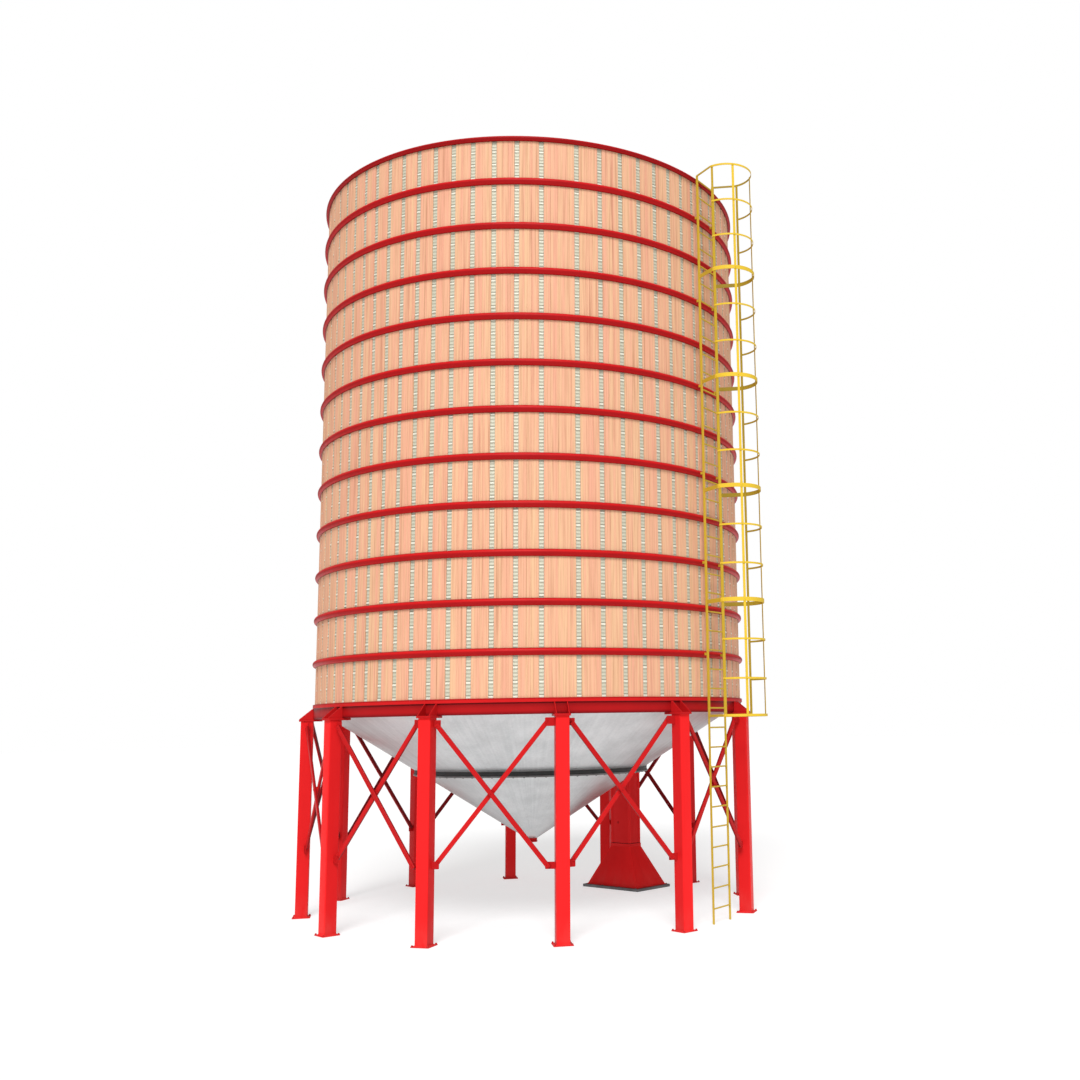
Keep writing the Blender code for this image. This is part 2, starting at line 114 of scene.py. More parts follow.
def softened(corners, cut, steps=2):
    # each corner gives way to a curve: corner + toBack * cut * (1 - s)^2 + toNext * cut * s^2
    corners = np.asarray(corners, float)
    back, on = np.roll(corners, 1, 0) - corners, np.roll(corners, -1, 0) - corners
    backLength, onLength = np.linalg.norm(back, axis=1), np.linalg.norm(on, axis=1)
    cut = np.minimum(cut, 0.45 * np.minimum(backLength, onLength))[:, None, None]
    s = np.linspace(0, 1, steps + 1)[None, :, None]
    back, on = (back / backLength[:, None])[:, None], (on / onLength[:, None])[:, None]
    return (corners[:, None] + back * cut * (1 - s) ** 2 + on * cut * s ** 2).reshape(-1, corners.shape[1])


def rectangle(lowX, highX, lowY, highY):
    return [(lowX, lowY), (highX, lowY), (highX, highY), (lowX, highY)]


def centred(wide, deep, x=0.0, y=0.0):
    # a rectangle round the point (x, y)
    return rectangle(x - wide / 2, x + wide / 2, y - deep / 2, y + deep / 2)


def pushed(loop, low, high, edge=0.0, axes=(0, 1, 2)):
    # an outline drawn out from low to high; the rows at both ends step in by edge along its normals
    loop = np.asarray(loop, float)
    run = np.roll(loop, -1, 0) - np.roll(loop, 1, 0)
    run /= np.linalg.norm(run, axis=1, keepdims=True)
    nextX, nextY = np.roll(loop, -1, 0).T
    turn = np.sign(np.sum(loop[:, 0] * nextY - nextX * loop[:, 1]))
    inward = np.stack([-run[:, 1], run[:, 0]], 1) * turn
    levels = [(low, edge), (low + edge, 0), (high - edge, 0), (high, edge)] if edge else [(low, 0), (high, 0)]
    rows = [np.column_stack([loop + inward * step, np.full(len(loop), level)]) for level, step in levels]
    grid = np.empty((len(rows), len(loop), 3))
    grid[..., list(axes)] = np.stack(rows)
    return grid


def fitted(grid, places, tone=0.5, closeRows=False):
    # the skin of a grid in every one of its places
    return skin(placed(grid, places), closeRows=closeRows, tone=tone)


def turned(loop, tone=0.5, steps=silo["roundSteps"]):
    # an outline of (radius, height) carried round the axis: x = r cos a, y = r sin a
    loop = np.asarray(loop, float)
    angle = np.linspace(0, 2 * pi, steps, endpoint=False)[:, None]
    radius, height = loop[:, 0], loop[:, 1]
    grid = np.stack([axisX + radius * np.cos(angle), radius * np.sin(angle), height + 0 * angle], -1)
    return skin(grid, closeRows=True, tone=tone)


def carried(path, loop):
    # an outline carried along a plan path: path + side * first + up * second
    path, loop = np.asarray(path, float), np.asarray(loop, float)
    run = np.gradient(path, axis=0)
    run /= np.linalg.norm(run, axis=1, keepdims=True)
    side = np.stack([run[:, 1], -run[:, 0]], 1)
    plan = path[:, None] + side[:, None] * loop[None, :, :1]
    return np.concatenate([plan, np.broadcast_to(loop[None, :, 1:], plan.shape[:2] + (1,))], -1)


def boltHead(radius, height):
    # a six-sided head: rows of a hexagon, the last one drawn in
    angle = np.arange(6) * pi / 3
    ring = np.stack([np.cos(angle), np.sin(angle)], 1)
    rows = ((radius, 0.0), (radius, height * 0.7), (radius * 0.8, height))
    return np.stack([np.column_stack([ring * r, np.full(6, z)]) for r, z in rows])


def linked(name, data):
    # a new object in the scene
    thing = bpy.data.objects.new(name, data)
    bpy.context.scene.collection.objects.link(thing)
    return thing


def makePiece(name, parts, material, stands=(), sharp=35):
    # all the parts as one mesh; tone is a number on each point that the finishes read
    points = np.concatenate([p["points"] for p in parts])
    starts = np.cumsum([0] + [len(p["points"]) for p in parts[:-1]])
    faces = [f + start for p, start in zip(parts, starts) for f in p["faces"]]
    sizes = np.concatenate([np.full(len(f), f.shape[1]) for f in faces])
    corners = np.concatenate([f.ravel() for f in faces])
    mesh = bpy.data.meshes.new(name)
    mesh.vertices.add(len(points))
    mesh.vertices.foreach_set("co", points.astype(np.float32).ravel())
    mesh.loops.add(len(corners))
    mesh.loops.foreach_set("vertex_index", corners.astype(np.int32))
    mesh.polygons.add(len(sizes))
    mesh.polygons.foreach_set("loop_start", np.concatenate([[0], np.cumsum(sizes)[:-1]]).astype(np.int32))
    mesh.update(calc_edges=True)
    tones = mesh.attributes.new("tone", "FLOAT", "POINT")
    tones.data.foreach_set("value", np.concatenate([p["tones"] for p in parts]).astype(np.float32))
    work = bmesh.new()
    work.from_mesh(mesh)
    bmesh.ops.recalc_face_normals(work, faces=work.faces)
    work.to_mesh(mesh)
    work.free()
    mesh.shade_smooth()
    mesh.set_sharp_from_angle(angle=radians(sharp))
    mesh.materials.append(material)
    piece = linked(name, mesh)
    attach(piece, "root")
    if stands:
        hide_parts(*stands)
    return piece


class Socket:
    # a shader value; the usual signs between two of them add Math nodes
    def __init__(self, finish, socket):
        self.finish = finish
        self.socket = socket

    def __add__(self, other):
        return self.finish.math("ADD", self, other)

    def __sub__(self, other):
        return self.finish.math("SUBTRACT", self, other)

    def __mul__(self, other):
        return self.finish.math("MULTIPLY", self, other)


class Finish:
    # a material and the nodes that make it
    def __init__(self, name):
        self.material = bpy.data.materials.new(name)
        self.material.use_nodes = True
        self.tree = self.material.node_tree
        self.shader = self.tree.nodes["Principled BSDF"]
        self.place = self.add("ShaderNodeTexCoord", {}, {}, "Object")
        self.tone = self.add("ShaderNodeAttribute", {"attribute_name": "tone"}, {}, "Fac")

    def add(self, kind, settings, sockets, output=0):
        node = self.tree.nodes.new(kind)
        for key, value in settings.items():
            setattr(node, key, value)
        for key, value in sockets.items():
            self.put(node.inputs[key], value)
        return Socket(self, node.outputs[output])

    def put(self, socket, value):
        # a link from another node, or a fixed value
        if isinstance(value, Socket):
            self.tree.links.new(value.socket, socket)
        else:
            socket.default_value = value

    def noise(self, stretch, detail, rough, shift=(0, 0, 0)):
        # a noise whose cells are one over stretch metres wide along each axis
        settings = {"operation": "MULTIPLY_ADD"}
        at = self.add("ShaderNodeVectorMath", settings, {0: self.place, 1: stretch, 2: shift})
        return self.noiseAt(at, detail, rough)

    def noiseAt(self, at, detail, rough):
        sockets = {"Vector": at, "Scale": 1.0, "Detail": detail, "Roughness": rough}
        return self.add("ShaderNodeTexNoise", {}, sockets)

    def rays(self, reach, along):
        # (reach cos a, reach sin a, along * height), a being the turn round the axis: streaks follow a slope
        settings = {"operation": "SUBTRACT"}
        moved = self.add("ShaderNodeVectorMath", settings, {0: self.place, 1: (axisX, 0, 0)})
        x, y, height = (self.add("ShaderNodeSeparateXYZ", {}, {0: moved}, axis) for axis in "XYZ")
        turn = self.math("ARCTAN2", y, x)
        ring = {n: self.math(kind, turn, 0.0) * reach for n, kind in enumerate(("COSINE", "SINE"))}
        return self.add("ShaderNodeCombineXYZ", {}, {**ring, 2: height * along})

    def math(self, operation, a, b):
        return self.add("ShaderNodeMath", {"operation": operation}, {0: a, 1: b})

    def spread(self, value, low, high, least=0.0, most=1.0):
        # value from low to high becomes least to most, and stays within them
        sockets = {"Value": value, "From Min": low, "From Max": high, "To Min": least, "To Max": most}
        return self.add("ShaderNodeMapRange", {"clamp": True}, sockets)

    def blend(self, share, first, second, how="MIX"):
        colours = {6: first, 7: second}
        colours = {k: v if isinstance(v, Socket) else (*v, 1) for k, v in colours.items()}
        settings = {"data_type": "RGBA", "blend_type": how}
        return self.add("ShaderNodeMix", settings, {0: share, **colours}, 2)

    def bump(self, height, depth):
        # height is 0 to 1, and depth its size in metres
        sockets = {"Height": height, "Distance": depth, "Strength": 1.0}
        return self.add("ShaderNodeBump", {}, sockets, "Normal")

    def into(self, **sockets):
        # the shader's own sockets, underscores read as spaces
        for key, value in sockets.items():
            self.put(self.shader.inputs[key.replace("_", " ")], value)
        return self.material


def timberFinish(name, values):
    # upright or sloping grain: fine streaks, broad tints from board to board and a few dark lines
    finish = Finish(name)
    if "reach" in values:
        finish.place = finish.rays(values["reach"], values["along"])
    fine = finish.noise((54, 54, 0.9), 4.0, 0.6)
    broad = finish.noise((19, 19, 0.22), 3.0, 0.55, (3, 7, 1))
    lines = finish.noise((34, 34, 0.5), 3.0, 0.55, (11, 2, 5))
    pores = finish.noise((240, 240, 7), 2.0, 0.5)
    tint = finish.spread(broad + (finish.tone - 0.5) * values["boardShift"], 0.36, 0.66)
    colour = finish.blend(tint, values["pink"], values["straw"])
    marks = ((fine, 0.46, 0.70, values["streak"]), (lines, 0.57, 0.70, values["darkLine"]),
             (pores, 0.5, 0.8, 0.10))
    for mark, low, high, most in marks:
        colour = finish.blend(finish.spread(mark, low, high, 0.0, most), colour, values["brown"])
    height = fine * 0.6 + pores * 0.4
    rough = finish.spread(fine, 0.3, 0.7, values["rough"] - 0.07, values["rough"] + 0.07)
    return finish.into(Base_Color=colour, Roughness=rough, Normal=finish.bump(height, values["grainDepth"]),
                       Specular_IOR_Level=0.25)


def paintFinish(name, values):
    # sprayed paint: tone runs from the deep colour to the bright one and carries painted shade and
    # highlights, with a slow drift, orange-peel bump and thin dust near the ground
    finish = Finish(name)
    drift = finish.noise((1.7, 1.7, 0.6), 3.0, 0.55)
    peel = finish.noise((95, 95, 95), 2.0, 0.4, (4, 4, 4))
    cloud = finish.noise((9, 9, 3.5), 4.0, 0.6, (1, 8, 3))
    colour = finish.blend(finish.tone, values["deep"], values["bright"])
    fade = finish.blend(finish.spread(drift, 0.35, 0.65), (values["fade"],) * 3, (1.0, 1.0, 1.0))
    colour = finish.blend(1.0, colour, fade, "MULTIPLY")
    height = finish.add("ShaderNodeSeparateXYZ", {}, {0: finish.place}, "Z")
    dust = finish.spread(height, 0.0, values["dustTop"], values["dust"], 0.0) * finish.spread(cloud, 0.3, 0.7)
    colour = finish.blend(dust, colour, values["dustColour"])
    rough = finish.spread(cloud, 0.3, 0.7, values["rough"] - 0.05, values["rough"] + 0.06)
    return finish.into(Base_Color=colour, Roughness=rough, Normal=finish.bump(peel, values["peelDepth"]),
                       Specular_IOR_Level=values["gloss"])


def sheetSteelFinish(name, values):
    # rolled sheet on a cone: streaks that run down the slope, faint clouds, and a painted dark, reddish
    # reflection and shade where it is seen edge-on
    finish = Finish(name)
    streaks = finish.noiseAt(finish.rays(46.0, 0.9), 4.0, 0.6)
    clouds = finish.noise((2.6, 2.6, 2.6), 5.0, 0.6)
    specks = finish.noise((30, 30, 30), 3.0, 0.6, (5, 5, 5))
    share = finish.spread(clouds * 0.50 + specks * 0.18 + streaks * 0.32, 0.40, 0.60)
    colour = finish.blend(share, values["dark"], values["pale"])
    edgeOn = finish.add("ShaderNodeLayerWeight", {}, {"Blend": 0.5}, "Facing")
    # painted shade and reflection, dark and reddish, on the flanks seen edge-on
    edgeOnShade = finish.spread(edgeOn + streaks * 0.35, 0.74, 1.04, 0.0, values["edgeOnShadeShare"])
    colour = finish.blend(edgeOnShade, colour, values["edgeOnShade"])
    rough = finish.spread(streaks, 0.3, 0.7, values["rough"] - 0.06, values["rough"] + 0.06)
    normal = finish.bump(streaks, values["streakDepth"])
    return finish.into(Base_Color=colour, Roughness=rough, Metallic=values["metal"], Normal=normal)


def strapFinish(name, values):
    # cast steel strap: tone 0 is a slot, 0.5 plain metal and 1 a bright lug
    finish = Finish(name)
    cloud = finish.noise((16, 16, 16), 4.0, 0.6)
    pits = finish.noise((130, 130, 130), 2.0, 0.5, (2, 9, 4))
    colour = finish.blend(finish.spread(finish.tone, 0.0, 0.5), values["slot"], values["plate"])
    colour = finish.blend(finish.spread(finish.tone, 0.5, 1.0), colour, values["lug"])
    colour = finish.blend(finish.spread(cloud, 0.45, 0.75, 0.0, 0.35), colour, values["stain"])
    return finish.into(Base_Color=colour, Roughness=0.55, Metallic=0.1, Normal=finish.bump(pits, 0.0006))


def plainSteelFinish(name, values):
    # dull dark steel or rubber: clouds of two tones and a fine grain
    finish = Finish(name)
    cloud = finish.noise((7, 7, 7), 5.0, 0.6)
    grain = finish.noise((160, 160, 160), 2.0, 0.5, (3, 3, 3))
    colour = finish.blend(finish.spread(cloud, 0.35, 0.65), values["dark"], values["pale"])
    rough = finish.spread(cloud, 0.3, 0.7, values["rough"] - 0.08, values["rough"] + 0.08)
    return finish.into(Base_Color=colour, Roughness=rough, Metallic=values["metal"],
                       Normal=finish.bump(grain, 0.0005))


wallTimber = timberFinish("wallTimber", {
    "pink": (0.790, 0.388, 0.256), "straw": (0.785, 0.480, 0.278), "brown": (0.490, 0.215, 0.122),
    "streak": 0.54, "darkLine": 0.74, "boardShift": 0.16, "rough": 0.62, "grainDepth": 0.0013,
})
roofTimber = timberFinish("roofTimber", {
    "pink": (0.56, 0.36, 0.23), "straw": (0.64, 0.47, 0.31), "brown": (0.30, 0.20, 0.13),
    "streak": 0.4, "darkLine": 0.4, "boardShift": 0.5, "rough": 0.72, "grainDepth": 0.0006,
    "reach": 1.6, "along": 3.5,
})
redPaint = paintFinish("redPaint", {
    "deep": (0.08, 0.003, 0.005), "bright": (0.95, 0.019, 0.020), "fade": 0.92,
    "dustColour": (0.55, 0.36, 0.31), "dust": 0.08, "dustTop": 0.40, "rough": 0.36, "peelDepth": 0.0004,
    "gloss": 0.06,
})
yellowPaint = paintFinish("yellowPaint", {
    "deep": (0.20, 0.14, 0.018), "bright": (0.85, 0.575, 0.043), "fade": 0.93,
    "dustColour": (0.66, 0.58, 0.42), "dust": 0.10, "dustTop": 0.6, "rough": 0.42, "peelDepth": 0.0003,
    "gloss": 0.16,
})
hopperSteel = sheetSteelFinish("hopperSteel", {
    "dark": (0.54, 0.56, 0.565), "pale": (0.69, 0.71, 0.715), "rough": 0.34, "metal": 0.86,
    # painted shade and reflection on the edge-on flanks
    "streakDepth": 0.00003, "edgeOnShade": (0.21, 0.18, 0.18), "edgeOnShadeShare": 0.66,
})
strapSteel = strapFinish("strapSteel", {
    "slot": (0.31, 0.30, 0.23), "plate": (0.52, 0.505, 0.39), "lug": (0.76, 0.75, 0.63),
    "stain": (0.46, 0.47, 0.34),
})
collarSeal = plainSteelFinish("collarSeal", {
    "dark": (0.014, 0.018, 0.018), "pale": (0.030, 0.036, 0.036), "rough": 0.55, "metal": 0.0,
})
plateSteel = plainSteelFinish("plateSteel", {
    "dark": (0.10, 0.10, 0.105), "pale": (0.19, 0.19, 0.195), "rough": 0.5, "metal": 0.4,
})
flangeSteel = plainSteelFinish("flangeSteel", {
    "dark": (0.13, 0.14, 0.14), "pale": (0.22, 0.23, 0.23), "rough": 0.45, "metal": 0.3,
})
print("finishes ready")

# joint straps: every quarter has the same spacing, widest across its middle; a lug is (high, proud, drop)
straps = {
    "wide": 0.076, "middleGap": 8.7, "firstGap": 4.6, "gapGrowth": 1.3, "gapPower": 2.2, "gaps": 8,
    "face": 3.586, "back": 3.534, "side": 0.0005, "below": 0.002, "pitch": 0.052, "each": 4,
    "firstBoss": 0.010, "clear": 0.035, "lugBack": 0.002, "lugFront": 0.006, "lug": (0.030, 0.004, 0.009),
    "boss": (0.030, 0.010, 0.012), "bossUp": 0.006, "slot": (0.014, 0.001, 0.001), "slotUp": 0.030,
    "plateTone": 0.38, "lugTone": 0.58,
}


def strapAngles():
    # gaps grow as (i / last) to a power, scaled to fill the quarter, and mirror about its middle
    share = np.arange(straps["gaps"]) / (straps["gaps"] - 1)
    gaps = straps["firstGap"] + straps["gapGrowth"] * share ** straps["gapPower"]
    gaps *= (45 - straps["middleGap"] / 2) / gaps.sum()
    half = np.concatenate([[0], np.cumsum(gaps)])
    quarter = np.concatenate([half, 90 - half[:0:-1]])
    return (quarter[None] + np.arange(4)[:, None] * 90).ravel()


# wall boards between the straps
boards = {
    "wide": 0.108, "joint": 0.0006, "nick": 0.0020, "uneven": 0.0015, "stray": 0.09, "firstJoint": 3.75,
    "seed": 11,
}
strapAt = strapAngles()


def boardGrid(first, last, out):
    # upright boards: seven points of (angle, radius) round each one, at its foot and its top
    nick = boards["nick"] / silo["wallOut"]
    mid = (first + last) / 2
    angle = np.stack([first, first, first + nick, mid, last - nick, last, last], 1)
    deep = np.full_like(first, silo["wallIn"])
    radius = np.stack([deep, out - boards["nick"], out, out, out, out - boards["nick"], deep], 1)
    heights = np.array([silo["wallFoot"], silo["wallTop"]])[:, None, None]
    rows = np.broadcast_arrays(axisX + radius * np.cos(angle), radius * np.sin(angle), heights)
    return np.stack(rows, -1).swapaxes(0, 1)


def makeWall():
    chance = np.random.default_rng(boards["seed"])
    edge = straps["wide"] / 2 / silo["wallOut"]
    starts = np.radians(strapAt) + edge
    ends = np.radians(np.append(strapAt[1:], 360)) - edge
    counts = np.maximum(np.round((ends - starts) * silo["wallOut"] / boards["wide"]), 2).astype(int)
    first, last = [], []
    for start, end, count in zip(starts, ends, counts):
        shares = np.linspace(0, 1, count + 1)
        shares[1:-1] += chance.uniform(-boards["stray"], boards["stray"], count - 1)
        cuts = start + (end - start) * shares
        first.append(cuts[:-1])
        last.append(cuts[1:])
    joint = boards["joint"] / 2 / silo["wallOut"]
    first, last = np.concatenate(first) + joint, np.concatenate(last) - joint
    out = silo["wallOut"] - chance.uniform(0, boards["uneven"], len(first))
    tone = chance.uniform(0, 1, len(first))
    segment = (np.degrees((first + last) / 2) - boards["firstJoint"]) // 60 % 6
    for n in range(6):
        mine = segment == n
        part = skin(boardGrid(first[mine], last[mine], out[mine]), tone=tone[mine, None, None])
        makePiece(f"wallBoards_{n + 1:02d}", [part], wallTimber, [f"wall_segment_{n + 1:02d}"])


def makeStraps():
    # plates with a row of cast lugs, each fourth one a boss with a dark slot over it
    half = straps["wide"] / 2
    plate = pushed(rectangle(straps["back"], straps["face"], -half + straps["side"], half - straps["side"]),
                   silo["wallFoot"], silo["wallTop"] - straps["below"])

    def lug(high, proud, drop):
        # a flat back, and a smaller front whose top is drawn down by drop
        face, back, front = straps["face"], half - straps["lugBack"], half - straps["lugFront"]
        return np.array([
            [(face, y, z) for y, z in centred(2 * back, high)],
            [(face + proud, y, z) for y, z in rectangle(-front, front, -high / 2 + sunk, high / 2 - drop)],
        ])

    rows = np.arange(int((silo["wallTop"] - silo["wallFoot"]) / straps["pitch"]))
    heights = silo["wallFoot"] + straps["firstBoss"] + rows * straps["pitch"]
    clear = np.abs(np.subtract.outer(heights, hoopHeights)).min(1) > straps["clear"]
    boss = rows % straps["each"] == 0
    bossAt = heights[clear & boss]
    kinds = ((heights[clear & ~boss], lug(*straps["lug"]), straps["lugTone"]),
             (bossAt + straps["bossUp"], lug(*straps["boss"]), 1.0),
             (bossAt + straps["slotUp"], lug(*straps["slot"]), 0.0))
    for quarter, angles in enumerate(np.split(strapAt, 4)):
        parts = [fitted(plate, around(angles), straps["plateTone"])]
        for levels, shape, tone in kinds:
            turn, level = (grid.ravel() for grid in np.meshgrid(angles, levels, indexing="ij"))
            parts.append(fitted(shape, around(turn, up=level), tone))
        makePiece(f"jointStraps_{quarter + 1:02d}", parts, strapSteel)


makeWall()
makeStraps()
print("wall boards and straps ready")

# hoops and the rim: half-round sections
hoops = {
    "half": 0.055, "proud": 0.054, "seat": 3.6003, "points": 19,
    # painted shade and highlight across each hoop's section, and painted shade on the rim
    "toneAt": (-90, -75, -60, -48, -32, -15, 0, 15, 28, 42, 58, 75, 90), "rimHalf": 0.040,
    "tones": (0.07, 0.32, 0.47, 0.50, 0.41, 0.345, 0.375, 0.53, 0.62, 0.57, 0.37, 0.18, 0.05),
    "rimShadeShare": 0.76,
}


def makeHoops():
    # half an ellipse: radius = seat + proud cos t, height = half sin t; the rim is slimmer and painted darker
    # as shade
    t = np.linspace(pi / 2, -pi / 2, hoops["points"])
    tone = np.interp(np.degrees(t), hoops["toneAt"], hoops["tones"])  # painted shade at the top and bottom edges and below the middle, and a painted highlight above the middle
    for node, height in zip(hoopNodes, hoopHeights):
        name, half, share = node.replace("hoop", "roundHoop"), hoops["half"], 1.0
        if node == "top_rim":
            name, half, share = "roundRim", hoops["rimHalf"], hoops["rimShadeShare"]
        section = np.stack([hoops["seat"] + hoops["proud"] * np.cos(t), half * np.sin(t) + height], 1)
        makePiece(name, [turned(section, tone * share)], redPaint, [node])


makeHoops()

# ring beam: sill band, web and bottom flange
beam = {
    "bandOut": 3.630, "bandTop": 3.384, "bandFoot": 3.323, "webOut": 3.610, "web": 0.026, "foot": 3.1533,
    "flange": 0.018, "flangeIn": 3.470, "edge": 0.004,
    # painted shade down the band and the web
    "bandAt": (3.323, 3.332, 3.344, 3.357, 3.370, 3.384), "bandShadeTones": (0.56, 0.60, 0.60, 0.62, 0.40, 0.34),
    "webAt": (3.1533, 3.165, 3.180, 3.205, 3.245, 3.295, 3.323),
    "webShadeTones": (0.08, 0.15, 0.25, 0.39, 0.37, 0.24, 0.04),
}


def makeBeam():
    # the section, from the band down the web and back up inside
    inner, lip, shelf = beam["webOut"] - beam["web"], beam["flangeIn"], silo["wallIn"]
    foot, raised, step = beam["foot"], beam["foot"] + beam["flange"], beam["bandFoot"]
    outline = [
        *[(beam["bandOut"], z) for z in beam["bandAt"][::-1]],
        *[(beam["webOut"], z) for z in beam["webAt"][::-1]],
        (lip, foot), (lip, raised), (inner, raised), (inner, step), (shelf, step), (shelf, beam["bandTop"]),
    ]
    loop = softened(outline, beam["edge"])
    # painted shade: the web is dark under the band and at its foot, and the band is darker along its top edge
    webTone = np.interp(loop[:, 1], beam["webAt"], beam["webShadeTones"])
    bandTone = np.interp(loop[:, 1], beam["bandAt"], beam["bandShadeTones"])
    tone = np.where(loop[:, 0] > beam["webOut"] + beam["edge"], bandTone, webTone)
    makePiece("sillBeam", [turned(loop, tone)], redPaint, ["ring_beam"])


makeBeam()

# legs: rounded box column, base plate, cap plate, gussets and lugs
leg = {
    "wide": 0.197, "corner": 0.018, "base": 0.282, "baseThick": 0.012, "weld": 0.012, "anchorAt": 0.121,
    "anchor": (0.015, 0.020), "capIn": 3.480, "capOut": 3.842, "capWide": 0.230, "capThick": 0.032,
    "gusset": 0.014, "gussetTop": 3.640, "lugThick": 0.014, "lugShift": 0.007, "lugRoot": 0.030,
    "leftLugs": ((2.985, 3.090), (1.032, 1.138)), "rightLugs": ((2.980, 3.102), (1.016, 1.114)),
    # painted shade: flanks, back, cap, gussets and lugs take dimmer tones than the outward face
    "leftEnd": -0.766, "rightEnd": 0.723, "frontTone": 0.96, "sideTone": 0.70, "backShadeTone": 0.80,
    "plateTone": 0.50, "lugTone": 0.45, "edge": 0.003, "plateCorner": 0.012, "capCorner": 0.008,
    "capEdge": 0.004, "gussetFoot": 0.008, "gussetEdge": 0.0025, "steps": 5,
}
lugIn = chordOut + leg["lugShift"] - leg["lugThick"] / 2
lugOut = chordOut + leg["lugShift"] + leg["lugThick"] / 2


def faceTones(before, steps):
    # every rounded corner fades from the tone of the side before it to that of the side after it
    tones, share = np.asarray(before, float)[:, None], np.linspace(0, 1, steps + 1)
    return (tones * (1 - share) + np.roll(tones, -1, 0) * share).ravel()


def makeLegs():
    ring, wide, thick = silo["legRing"], leg["wide"], leg["baseThick"]
    top = beam["foot"] - gap
    foot = softened(centred(wide, wide, ring), leg["corner"], leg["steps"])
    column = pushed(foot, thick, top - leg["capThick"])
    # the side before each corner: towards the axis, a flank, outward, the other flank
    sides = [leg[key] for key in ("backShadeTone", "sideTone", "frontTone", "sideTone")]
    # painted shade: the flanks and the face towards the axis are darker than the outward face, fading round
    # the corners
    columnTone = faceTones(sides, leg["steps"])
    base = softened(centred(leg["base"], leg["base"], ring), leg["plateCorner"])
    base = pushed(base, 0, thick, leg["edge"])
    grown = (foot - [ring, 0]) * (1 + 2 * leg["weld"] / wide) + [ring, 0]
    weld = np.stack([np.column_stack([loop, np.full(len(foot), height)])
                     for loop, height in ((grown, thick - sunk), (foot, thick + leg["weld"]))])
    cap = rectangle(leg["capIn"], leg["capOut"], -leg["capWide"] / 2, leg["capWide"] / 2)
    cap = pushed(softened(cap, leg["capCorner"]), top - leg["capThick"], top, leg["edge"])
    inside, peak, tip = beam["webOut"] + sunk, beam["bandFoot"] - sunk / 2, leg["capOut"] - leg["capEdge"]
    outline = softened([(inside, top), (tip, top), (tip, top + leg["gussetFoot"]), (leg["gussetTop"], peak),
                        (inside, peak)], leg["capEdge"])
    near, far = wide / 2 - leg["gusset"], wide / 2
    gussets = [pushed(outline, *ends, leg["gussetEdge"], (0, 2, 1)) for ends in ((-far, -near), (near, far))]
    x, y = np.array([(x, y) for x in (-1, 1) for y in (-1, 1)]).T * leg["anchorAt"]
    anchors = placed(boltHead(*leg["anchor"]), shifted(ring + x, y, thick - sunk))
    # the cap and gussets are painted darker as shade under the beam, and the anchors take the same tone
    solids = [(column, columnTone), (weld, columnTone), (base, leg["sideTone"])]
    solids += [(grid, leg["plateTone"]) for grid in (cap, *gussets, anchors)]
    root = chordHalf - leg["lugRoot"]
    for n in range(silo["legs"]):
        parts = [fitted(grid, around(legAngles[n]), tone) for grid, tone in solids]
        for bay, lugs, near, end in ((n, leg["leftLugs"], -root, leg["leftEnd"]),
                                     (n - 1, leg["rightLugs"], root, leg["rightEnd"])):
            for low, high in lugs:
                loop = softened(rectangle(min(near, end), max(near, end), low, high), 0.012, 3)
                grid = pushed(loop, lugIn, lugOut, 0.002, (1, 2, 0))
                # painted shade: the lugs for the bars are darker than the column
                parts.append(fitted(grid, around(bayAngles[bay]), leg["lugTone"]))
        makePiece(f"boxLeg_{n + 1:02d}", parts, redPaint, [f"leg_{n + 1:02d}"])


makeLegs()

# crossed bars between the legs: one outside the lugs and one inside them, as (along, height)
brace = {
    "wide": 0.065, "thick": 0.038, "down": ((-0.825, 3.030), (0.780, 1.035)),
    "up": ((-0.812, 1.097), (0.780, 3.081)), "plate": 0.090, "plateSink": 0.003,
    # painted shade: the bars' inner faces are near black-red
    "bolt": (0.013, 0.010), "boltsAt": (0.024, 0.062), "downTone": 0.50, "upTone": 0.58, "backShadeTone": 0.12,
}


def makeBraces():
    # each bar is the outline round start + run * distance +- side * width / 2, drawn out along the radius
    high, low = lugOut + gap, lugIn - gap
    grids, heads, places = [], [], []
    for ends, inner, face, tone in ((brace["down"], high, high + brace["thick"], brace["downTone"]),
                                    (brace["up"], low - brace["thick"], lugOut, brace["upTone"])):
        start, end = np.array(ends)
        run = (end - start) / np.linalg.norm(end - start)
        side = np.array([-run[1], run[0]]) * brace["wide"] / 2
        loop = softened([start - side, end - side, end + side, start + side], 0.010, 3)
        grid = pushed(loop, inner, inner + brace["thick"], 0.003, (1, 2, 0))
        # painted shade: the half of each bar that faces the tank is near black-red
        grids.append((grid, np.array([brace["backShadeTone"]] * 2 + [tone] * 2)[:, None]))
        for spot in [start + run * d for d in brace["boltsAt"]] + [end - run * d for d in brace["boltsAt"]]:
            heads.append((face - sunk, *spot))
        places.append((start, run))
    (downStart, downRun), (upStart, upRun) = places
    reach = np.linalg.solve(np.stack([downRun, -upRun], 1), upStart - downStart)[0]
    centre = downStart + downRun * reach
    square, sink = softened(centred(brace["plate"], brace["plate"], *centre), 0.008, 3), brace["plateSink"]
    grids.append((pushed(square, low - sink, high + sink, 0.002, (1, 2, 0)), brace["downTone"]))
    heads.append((high + brace["thick"] - sunk, *centre))
    heads = np.array(heads)
    for n in range(silo["legs"]):
        parts = [fitted(grid, around(bayAngles[n]), tone) for grid, tone in grids]
        spots = around(np.full(len(heads), bayAngles[n]), *heads.T) @ outward
        parts.append(fitted(boltHead(*brace["bolt"]), spots, brace["downTone"]))
        makePiece(f"crossBars_{n + 1:02d}", parts, redPaint, [f"bracing_{n + 1:02d}"])


makeBraces()
print("hoops, beam, legs and bars ready")

